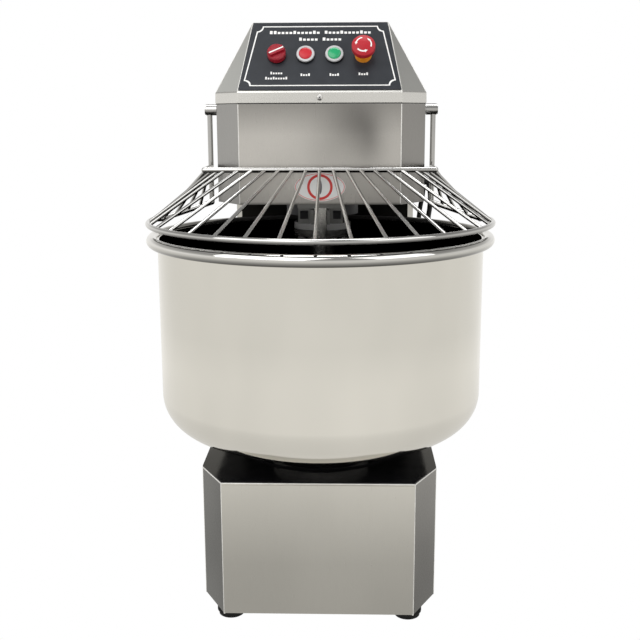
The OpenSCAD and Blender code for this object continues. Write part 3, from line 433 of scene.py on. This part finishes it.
def mesh_object(name, points, faces, materials, smooth=True, sharp_deg=40):
    mesh = bpy.data.meshes.new(name)
    mesh.from_pydata([tuple(p) for p in points], [], faces)
    bm = bmesh.new()
    bm.from_mesh(mesh)
    bmesh.ops.remove_doubles(bm, verts=bm.verts, dist=1e-6)
    bmesh.ops.recalc_face_normals(bm, faces=bm.faces)
    bm.to_mesh(mesh)
    bm.free()
    for key in materials:
        mesh.materials.append(MATERIALS[key])
    mesh.polygons.foreach_set("use_smooth", [smooth] * len(mesh.polygons))
    if smooth:
        mesh.set_sharp_from_angle(angle=math.radians(sharp_deg))
    made = bpy.data.objects.new(name, mesh)
    bpy.context.scene.collection.objects.link(made)
    return made


def piece(made, body, slot):
    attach(made, body)
    return made


def join(name, parts):
    """Joins pieces of the same kind into one object."""
    bpy.ops.object.select_all(action="DESELECT")
    for part in parts:
        part.select_set(True)
    bpy.context.view_layer.objects.active = parts[0]
    bpy.ops.object.join()
    parts[0].name = name
    return parts[0]


def arc(centre, r, start, end, count):
    """Points of a flat arc, in degrees."""
    turns = [math.radians(start + (end - start) * i / count) for i in range(count + 1)]
    return [(centre[0] + r * math.cos(t), centre[1] + r * math.sin(t)) for t in turns]


def ellipse(a, b, count=72):
    turns = [2 * math.pi * i / count for i in range(count)]
    return [(a * math.cos(t), b * math.sin(t)) for t in turns]


def rectangle(x0, y0, x1, y1):
    return [(x0, y0), (x1, y0), (x1, y1), (x0, y1)]


def bands(rings, count, around=True, wrap=False):
    """Quads between neighbouring rings of count points each. around closes every ring, and
    wrap joins the last ring to the first."""
    faces = []
    for i in range(rings if wrap else rings - 1):
        a, b = i * count, (i + 1) % rings * count
        for k in range(count if around else count - 1):
            n = (k + 1) % count
            faces.append((a + k, a + n, b + n, b + k))
    return faces


def cap(ring, count):
    """One face that fills a ring."""
    return tuple(ring * count + k for k in range(count))


def lathe(name, profile, materials, place, segments, slot_of=None, sharp_deg=40):
    """Turns (r, z) points round the Z axis. place moves the result; slot_of picks materials."""
    points = [place @ Vector((x, y, z)) for r, z in profile for x, y in ellipse(r, r, segments)]
    made = mesh_object(name, points, bands(len(profile), segments), materials,
                       sharp_deg=sharp_deg)
    if slot_of:
        for poly in made.data.polygons:
            poly.material_index = slot_of(poly.center)
    return made


def smooth_curve(points, steps):
    """Catmull-Rom curve through the points."""
    out = []
    last = len(points) - 1
    for i in range(last):
        a, b, c, d = (Vector(points[max(0, min(last, i + k))]) for k in (-1, 0, 1, 2))
        for k in range(steps):
            t = k / steps
            out.append(0.5 * (2 * b + (c - a) * t + (2 * a - 5 * b + 4 * c - d) * t ** 2
                              + (3 * b - a - 3 * c + d) * t ** 3))
    out.append(Vector(points[-1]))
    return out


def tube(name, path, radius, materials, sides=16):
    """Round tube along a path, closed at its ends, with a section that doesn't twist."""
    points = []
    side = None
    for i, p in enumerate(path):
        ahead = path[min(i + 1, len(path) - 1)] - path[max(i - 1, 0)]
        ahead.normalize()
        if side is None:
            side = ahead.cross(Vector((0, 0, 1)) if abs(ahead.z) < 0.9 else Vector((1, 0, 0)))
        side = (side - ahead * side.dot(ahead)).normalized()
        other = ahead.cross(side)
        points += [p + radius * (c * side + s * other) for c, s in ellipse(1, 1, sides)]
    faces = bands(len(path), sides) + [cap(0, sides), cap(len(path) - 1, sides)]
    return mesh_object(name, points, faces, materials)


def slab(name, outline, z0, z1, materials, place, hole=None):
    """Flat plate from z0 to z1. A hole outline has as many points as the outline."""
    n = len(outline)
    rings = [(outline, z0), (outline, z1)]
    if hole:
        rings += [(hole, z1), (hole, z0)]
        faces = bands(4, n, wrap=True)
    else:
        faces = bands(2, n) + [cap(0, n), cap(1, n)]
    points = [place @ Vector((x, y, z)) for ring, z in rings for x, y in ring]
    return mesh_object(name, points, faces, materials, sharp_deg=30)


def on_panel(x, up, out=0.0):
    """Matrix whose XY plane is the slanted panel, at x across and up from its lower edge."""
    return (Matrix.Translation(panel_low) @ Matrix.Rotation(panel_tilt, 4, "X")
            @ Matrix.Translation((x, up, out)))


def facing_front(x, y, z):
    """Matrix whose XY plane is upright and faces the front, at a point."""
    return Matrix.Translation((x, y, z)) @ Matrix.Rotation(math.radians(90), 4, "X")


# ------------------------------------------------------------------ bowl

def make_bowl():
    """The bowl as one fine turned skin: polished outside; dull inside, where its near-black
    colour is painted shade.
    """
    corner = (bowl_r - bowl_corner_r, bowl_bottom + bowl_corner_r)
    rim = (rim_path_r, rim_z)
    inner_r = bowl_r - bowl_wall
    profile = [(0.0, bowl_bottom), (bowl_r * 0.35, bowl_bottom)]
    profile += arc(corner, bowl_corner_r, -90, 0, 28)
    lower = math.degrees(math.asin((bowl_r - rim_path_r) / rim_tube_r))
    profile += arc(rim, rim_tube_r, 270 + lower, 540 - 4, 30)[:-1]
    profile += [(inner_r, rim_z + 2 * MM), (inner_r, corner[1])]
    profile += arc(corner, bowl_corner_r - bowl_wall, 0, -90, 20)[1:]
    profile += [(0.0, bowl_bottom + bowl_wall)]

    def slot_of(centre):
        """0 outside, 1 inside, 2 on the rolled rim."""
        r = math.hypot(centre.x, centre.y - bowl_y)
        if centre.z > rim_z - rim_tube_r and r > inner_r + 0.3 * MM:
            return 2
        if r > inner_r + 0.2 * MM or centre.z < bowl_bottom + 1.5 * MM:
            return 0
        from_corner = math.hypot(r - corner[0], centre.z - corner[1])
        return int(centre.z > corner[1] or r < corner[0]
                   or from_corner < bowl_corner_r - 1 * MM)

    skin = lathe("bowl_skin", profile, ["bowl_outer", "bowl_inner_painted_shade", "rim"],
                 Matrix.Translation((0, bowl_y, 0)), 256, slot_of, 50)
    piece(skin, "bowl", "polished_steel")
    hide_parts("bowl")


# ------------------------------------------------------------------ housings

def plan_outline(half_w, front, back, cut):
    """Plan of a housing with cut front corners, from the back left round the front."""
    return [(-half_w, back), (-half_w, front + cut[1]), (-half_w + cut[0], front),
            (half_w - cut[0], front), (half_w, front + cut[1]), (half_w, back)]


def make_hood_lip():
    """Band round the foot of the hood, standing slightly proud, with a narrow sunk gap below
    whose dark colour is painted shadow.
    """
    sunk, proud = 0.3 * MM, 1.4 * MM
    gap_bottom, z0, z1 = head_hi.z + 0.2 * MM, head_hi.z + 1.6 * MM, head_hi.z + lip_h
    levels = [(gap_bottom, sunk), (z0, sunk), (z0, proud), (z0 + 1 * MM, proud),
              (z1 - 2 * MM, proud * 0.8), (z1, 0.2 * MM)]
    points = []
    for z, out in levels:
        cut = (head_cut[0] + out * 0.3, head_cut[1] + out * 0.3)
        ring = plan_outline(head_hi.x + out, head_lo.y - out, hood_hi.y, cut)
        points += [Vector((x, y, z)) for x, y in ring]
    lip = mesh_object("hood_lip", points, bands(len(levels), len(ring), around=False),
                      ["lip", "painted_seam_shadow"], smooth=False)
    # The gap's band is painted shadow
    for poly in lip.data.polygons:
        if poly.center.z < z0 - 0.1 * MM:
            poly.material_index = 1
    round_edges(lip, 0.8 * MM)
    piece(lip, "frame", "brushed_steel")


def make_folds():
    """Rounded bends of the sheet, made brighter by a painted highlight: base, head and hood."""
    base_front, base_side = base_hi.x - base_cut[0], base_lo.y + base_cut[1]
    base_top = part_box("base_top_cover")[0].z
    head_front, head_side = head_hi.x - head_cut[0], head_lo.y + head_cut[1]
    peak_y, peak_z = panel_low.y + hood_slope, hood_hi.z - 0.3 * MM
    # Each run is its two ends and its radius in mm
    runs = [((-base_front, base_lo.y, base_top), (base_front, base_lo.y, base_top), 1.3),
            ((-head_front, head_lo.y, panel_low.z), (head_front, head_lo.y, panel_low.z), 0.6)]
    for way in (-1, 1):
        front_foot = (way * base_front, base_lo.y, base_lo.z)
        front_top = (way * base_front, base_lo.y, base_top)
        side_foot = (way * base_hi.x, base_side, base_lo.z)
        side_top = (way * base_hi.x, base_side, base_top)
        peak = (way * hood_top_half, peak_y, peak_z)
        runs += [(front_foot, front_top, 1.3), (side_foot, side_top, 0.8),
                 (front_top, side_top, 1.3),
                 ((way * head_front, head_lo.y, head_lo.z + 2 * MM),
                  (way * head_front, head_lo.y, head_hi.z), 0.7),
                 ((way * head_front, head_lo.y, panel_low.z), peak, 1.2),
                 ((way * head_hi.x, head_side, panel_low.z), peak, 0.8)]
    steps = 12
    parts = []
    for start, end, radius in runs:
        start, end = Vector(start), Vector(end)
        # The tube is sunk into the sheet, so that only a sliver of it shows
        inward = -math.copysign(0.3 * radius, start.x) if start.x * end.x > 0 else 0
        sink = Vector((inward, 0.45 * radius, -0.4 * radius)) * MM
        path = [start + sink + (end - start) * i / steps for i in range(steps + 1)]
        parts.append(tube("fold_highlight", path, radius * MM, ["fold_highlight"], sides=12))
    piece(join("sheet_folds", parts), "frame", "brushed_steel")


def make_front_screw():
    """Cross slot in the domed screw at the middle of the lip."""
    half_long, half_wide = 2.2 * MM, 0.45 * MM
    place = facing_front(0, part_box("cover_screws")[0].y, head_hi.z + lip_h / 2)
    arms = []
    for turn in (35, 125):
        arms.append(slab("slot", rectangle(-half_long, -half_wide, half_long, half_wide),
                         -1.5 * MM, 0.15 * MM, ["print_grey"],
                         place @ Matrix.Rotation(math.radians(turn), 4, "Z")))
    piece(join("screw_slot", arms), "frame", "polished_steel")


# ------------------------------------------------------------------ control panel

def panel_outline(inset, notch):
    """Trapezoid of the overlay, moved inward, with hollow round notches at its corners."""
    half_low, half_high = head_hi.x - head_cut[0] - 0.8 * MM, 99.7 * MM
    up_low, up_high = 1.5 * MM, panel_length - 1.5 * MM
    lean = (half_low - half_high) / (up_high - up_low)

    def half_at(up):
        return half_low - (up - up_low) * lean - inset * 1.15

    low, high = up_low + inset, up_high - inset
    corners = ((half_at(low), low, 180, 90), (half_at(high), high, 270, 180),
               (-half_at(high), high, 360, 270), (-half_at(low), low, 90, 0))
    out = []
    for x, up, start, end in corners:
        out += arc((x, up), notch, start, end, 6)
    return out


def mark_row(parts, place, x, up, words, pitch, tall):
    """A row of plain upright blocks, in groups, in place of printed words. The first block
    of a group is tall, and so are some of the others."""
    width, gap, low = 0.68 * pitch, 0.16, 0.68
    total = sum(words) + len(words) - 1
    base = up - tall / 2
    column = 0
    for word in words:
        for i in range(word):
            height = tall if i == 0 or (i * 7 + word) % 5 == 0 else tall * low
            left = x + (column - total / 2 + gap) * pitch
            parts.append(slab("mark", rectangle(left, base, left + width, base + height),
                              0, print_t, ["print_white"], place))
            column += 1
        column += 1


def make_panel_print():
    """White frame line on the overlay, and rows of plain marks for its title and labels."""
    notch = 8.5 * MM
    place = on_panel(0, 0, overlay_t)
    parts = [slab("line", panel_outline(6 * MM, notch), 0, print_t, ["print_white"], place,
                  panel_outline(7.6 * MM, notch))]
    for up, words in ((97, (13, 12)), (85.5, (5, 5))):
        mark_row(parts, place, 0, up * MM, words, 5.8 * MM, 5.2 * MM)
    for x, up, count in ((selector_x, 29, 5), (selector_x, 20.5, 9), (fast_x, 26, 4),
                         (slow_x, 26, 4), (estop_x, 27, 4)):
        mark_row(parts, place, x, up * MM, (count,), 3.7 * MM, 4.2 * MM)
    piece(join("panel_print", parts), "frame", "panel_black")


def make_selector_line():
    """White pointer line along the grip of the selector."""
    half_wide, half_long, grip_top, rest_turn = 1.0 * MM, 11.5 * MM, 17.3 * MM, -64
    place = (on_panel(selector_x, control_row, grip_top)
             @ Matrix.Rotation(math.radians(rest_turn), 4, "Z"))
    line = slab("selector_line", rectangle(-half_wide, -half_long, half_wide, half_long),
                -0.3 * MM, 0.15 * MM, ["print_white"], place)
    piece(line, "selector", "label_white")


def make_estop_arrows():
    """Three white arcs with arrow heads on the mushroom's dome."""
    dome_r, top = 34 * MM, 32 * MM
    # Inner and outer radius of an arc, of its arrow head's foot, and of the head's tip
    band, barbs, tip = (10.2, 12.1), (9.0, 13.3), (11.1, 11.2)
    place = on_panel(estop_x, control_row)
    parts = []

    def on_dome(r, degrees, lift):
        t = math.radians(degrees)
        z = top - dome_r + math.sqrt(dome_r ** 2 - r ** 2) + lift
        return place @ Vector((r * math.cos(t), r * math.sin(t), z))

    for start in (100, 220, 340):
        columns = [(start + 6 * i, band) for i in range(11)]
        columns += [(start + 60, barbs), (start + 82, tip)]
        points = [on_dome(r * MM, degrees, lift) for degrees, radii in columns
                  for lift in (-0.2 * MM, 0.12 * MM) for r in radii]
        faces = []
        for i in range(len(columns) - 1):
            a, b = i * 4, (i + 1) * 4
            faces += [(a + 2, a + 3, b + 3, b + 2), (a, b, b + 1, a + 1),
                      (a, a + 2, b + 2, b), (a + 1, b + 1, b + 3, a + 3)]
        faces += [(0, 1, 3, 2), (b, b + 1, b + 3, b + 2)]
        parts.append(mesh_object("arrow", points, faces, ["print_white"]))
    piece(join("estop_arrows", parts), "estop_head", "label_white")


def make_button_caps():
    """Slightly domed faces for the two push buttons."""
    profile = [(r * MM, z * MM) for r, z in ((0, 9.5), (4, 9.4), (7, 9.1), (8.7, 8.6),
                                             (9.4, 7.9), (9.55, 7.0))]
    for x, body, key, slot in ((fast_x, "fast", "red", "red_plastic"),
                               (slow_x, "slow", "green", "green_plastic")):
        piece(lathe(body + "_cap", profile, [key], on_panel(x, control_row), 64), body, slot)


# ------------------------------------------------------------------ label, feet, leads

def make_label_print():
    """Red outline and ring on the oval label, with a plain grey mark in the ring."""
    lo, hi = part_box("label_plate")
    a, b = (hi.x - lo.x) / 2, (hi.z - lo.z) / 2
    ring_r = b * 0.90
    place = facing_front(0, lo.y, (lo.z + hi.z) / 2)
    shapes = (("outline", "print_red", ellipse(a - 1 * MM, b - 1 * MM),
               ellipse(a - 1.8 * MM, b - 1.8 * MM)),
              ("ring", "print_red", ellipse(ring_r, ring_r),
               ellipse(ring_r * 0.80, ring_r * 0.80)),
              ("mark", "print_grey", ellipse(ring_r * 0.16, ring_r * 0.56), None))
    parts = [slab(name, outline, 0, print_t, [key], place, hole)
             for name, key, outline, hole in shapes]
    piece(join("label_print", parts), "frame", "label_white")


def make_feet():
    """Rubber levelling feet with a ribbed grip."""
    lo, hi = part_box("levelling_feet")
    foot_r = 21
    # Height and radius in mm; the ribs are grooves between two of the heights
    levels = [(0, 17.5), (0.8, 18.6), (5.2, 18.8), (6.2, 20.6), (7, foot_r), (13.6, foot_r),
              (14.6, 20.2), (15, 18.5), (15, 6.2)]
    ribs, rib_low, rib_high, groove = 28, 6, 14.6, 0.9 * MM
    turns = ellipse(1, 1, ribs * 4)
    faces = bands(len(levels), len(turns)) + [cap(0, len(turns))]
    parts = []
    for x in (lo.x + foot_r * MM, hi.x - foot_r * MM):
        for y in (lo.y + foot_r * MM, hi.y - foot_r * MM):
            points = []
            for z, r in levels:
                for k, (c, s) in enumerate(turns):
                    ribbed = rib_low <= z <= rib_high and k % 4 in (0, 1)
                    radius = r * MM - (groove if ribbed else 0.0)
                    points.append(Vector((x + radius * c, y + radius * s, z * MM)))
            parts.append(mesh_object("foot", points, faces, ["rubber"], sharp_deg=35))
    feet = piece(join("foot_pads", parts), "frame", "black_rubber")
    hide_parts("levelling_feet")


# Diameters and routes of the two held leads, in mm, the same as in the CAD
LEADS = {
    "guard_switch_lead": (8.5, [
        (163.5, -22, 621.5), (167.5, -22, 621.7), (172, -20, 619.8), (175.3, -14.5, 613.5),
        (177.3, -5, 603.5), (179, 9, 590.5), (179.6, 28, 573.5), (179.2, 48, 555),
        (180, 72, 522), (181.5, 94, 489), (182.5, 114, 460), (181, 130, 439),
        (175.8, 139, 428), (169.5, 142, 425), (163.5, 142, 425)]),
    "motor_lead": (8.0, [
        (163.5, 84, 611), (167, 84, 610.7), (170.8, 84.5, 607.8), (172.6, 86, 601.5),
        (171.6, 88.8, 589), (168.6, 93.5, 570), (166.8, 100, 549), (167, 110, 524),
        (168.5, 122, 503), (170.8, 137, 484), (173.5, 151, 471), (175.3, 161.5, 464),
        (173.2, 169, 460.8), (168, 171.8, 460), (163.5, 172, 460)]),
}


def make_leads():
    for name, (diameter, route) in LEADS.items():
        path = smooth_curve([Vector(p) * MM for p in route], 8)
        made = tube(name + "_sheath", path, diameter * MM / 2, ["rubber"])
        piece(made, "frame", "black_rubber")
        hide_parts(name)


# ------------------------------------------------------------------ stage

def floor_material():
    """Pale floor: white to the camera. What the steel mirrors of it is brighter further out;
    its dimmer glow near the machine is painted shade.
    """
    s = Shader("floor")
    away = s.distance(s.coords(), (0, bowl_y, 0))
    mirrored = s.node("ShaderNodeEmission")
    mirrored.inputs["Color"].default_value = (1.0, 0.985, 0.95, 1)
    s.link(s.remap(away, 0.62, 0.98, 0.3, 1.5), mirrored.inputs["Strength"])
    seen = s.node("ShaderNodeEmission")
    seen.inputs["Color"].default_value = (1, 1, 1, 1)
    seen.inputs["Strength"].default_value = 1.0
    mix = s.node("ShaderNodeMixShader")
    s.link(s.node("ShaderNodeLightPath").outputs["Is Camera Ray"], mix.inputs[0])
    s.link(mirrored.outputs[0], mix.inputs[1])
    s.link(seen.outputs[0], mix.inputs[2])
    s.link(mix.outputs[0], s.tree.nodes["Material Output"].inputs["Surface"])
    return s.material


def make_floor():
    reach = 30.0
    MATERIALS["floor"] = floor_material()
    points = [(x, y, 0) for x, y in rectangle(-reach, -reach, reach, reach)]
    mesh_object("floor", points, [(0, 1, 2, 3)], ["floor"], smooth=False)


def make_world():
    """Studio surroundings: white to the camera; bright above, calmer near the horizon."""
    world = bpy.data.worlds.new("studio")
    bpy.context.scene.world = world
    world.use_nodes = True
    tree = world.node_tree
    split = tree.nodes.new("ShaderNodeSeparateXYZ")
    place = tree.nodes.new("ShaderNodeTexCoord")
    tree.links.new(place.outputs["Generated"], split.inputs[0])
    ramp = tree.nodes.new("ShaderNodeValToRGB")
    below, overhead = ramp.color_ramp.elements
    below.position, below.color = 0.0, (0.62, 0.61, 0.59, 1)
    overhead.position, overhead.color = 1.0, (0.45, 0.45, 0.45, 1)
    for position, value in ((0.47, 0.92), (0.57, 0.95), (0.66, 0.55), (0.80, 0.32)):
        element = ramp.color_ramp.elements.new(position)
        element.color = (value, value * 0.99, value * 0.97, 1)
    tree.links.new(map_range(tree, split.outputs["Z"], (-1, 1)), ramp.inputs["Fac"])
    sideways = map_range(tree, split.outputs["X"], (-1, 1), (1.08, 0.90))
    mirrored = mix_colours(tree, 1.0, ramp.outputs["Color"], sideways, "MULTIPLY")
    seen = tree.nodes.new("ShaderNodeLightPath").outputs["Is Camera Ray"]
    background = tree.nodes["Background"]
    tree.links.new(mix_colours(tree, seen, mirrored, (1, 1, 1, 1)), background.inputs["Color"])
    background.inputs["Strength"].default_value = 1.0


def area_light(name, place, target, size, power):
    data = bpy.data.lights.new(name, "AREA")
    data.shape = "RECTANGLE"
    data.size, data.size_y = size
    data.energy = power
    light = bpy.data.objects.new(name, data)
    light.location = place
    light.rotation_euler = (Vector(target) - Vector(place)).to_track_quat("-Z", "Y").to_euler()
    bpy.context.scene.collection.objects.link(light)


def make_camera():
    """Camera in front, a little to the right, looking about 12 degrees down, where it was
    solved to be from the photo."""
    pitch, yaw, roll = (math.radians(v) for v in (11.95, -1.64, -0.21))
    place = Vector((41.2 * MM, bowl_y - 1.4772, 0.7328))
    ahead = Vector((math.sin(yaw) * math.cos(pitch), math.cos(yaw) * math.cos(pitch),
                    -math.sin(pitch)))
    right = Vector((math.cos(yaw), -math.sin(yaw), 0))
    down = ahead.cross(right)
    turned_right = math.cos(roll) * right - math.sin(roll) * down
    turned_down = math.sin(roll) * right + math.cos(roll) * down
    data = bpy.data.cameras.new("camera")
    data.sensor_width = 36
    data.lens = 55.12
    camera = bpy.data.objects.new("camera", data)
    axes = Matrix((turned_right, -turned_down, -ahead)).transposed()
    camera.matrix_world = Matrix.Translation(place) @ axes.to_4x4()
    bpy.context.scene.collection.objects.link(camera)
    bpy.context.scene.camera = camera


bpy.context.scene.view_settings.view_transform = "Standard"
make_camera()
make_world()
make_floor()
area_light("key", (-1.5, bowl_y - 1.9, 2.6), (0, bowl_y, 0.5), (3.6, 2.8), 60)
area_light("fill", (2.0, bowl_y - 1.3, 2.3), (0, bowl_y, 0.5), (2.2, 2.2), 24)
area_light("top", (0.1, bowl_y + 0.4, 2.9), (0, bowl_y + 0.1, 0.6), (1.6, 0.7), 22)
dress_cad_nodes()
make_bowl()
make_hood_lip()
make_folds()
make_front_screw()
make_panel_print()
make_selector_line()
make_estop_arrows()
make_button_caps()
make_label_print()
make_feet()
make_leads()
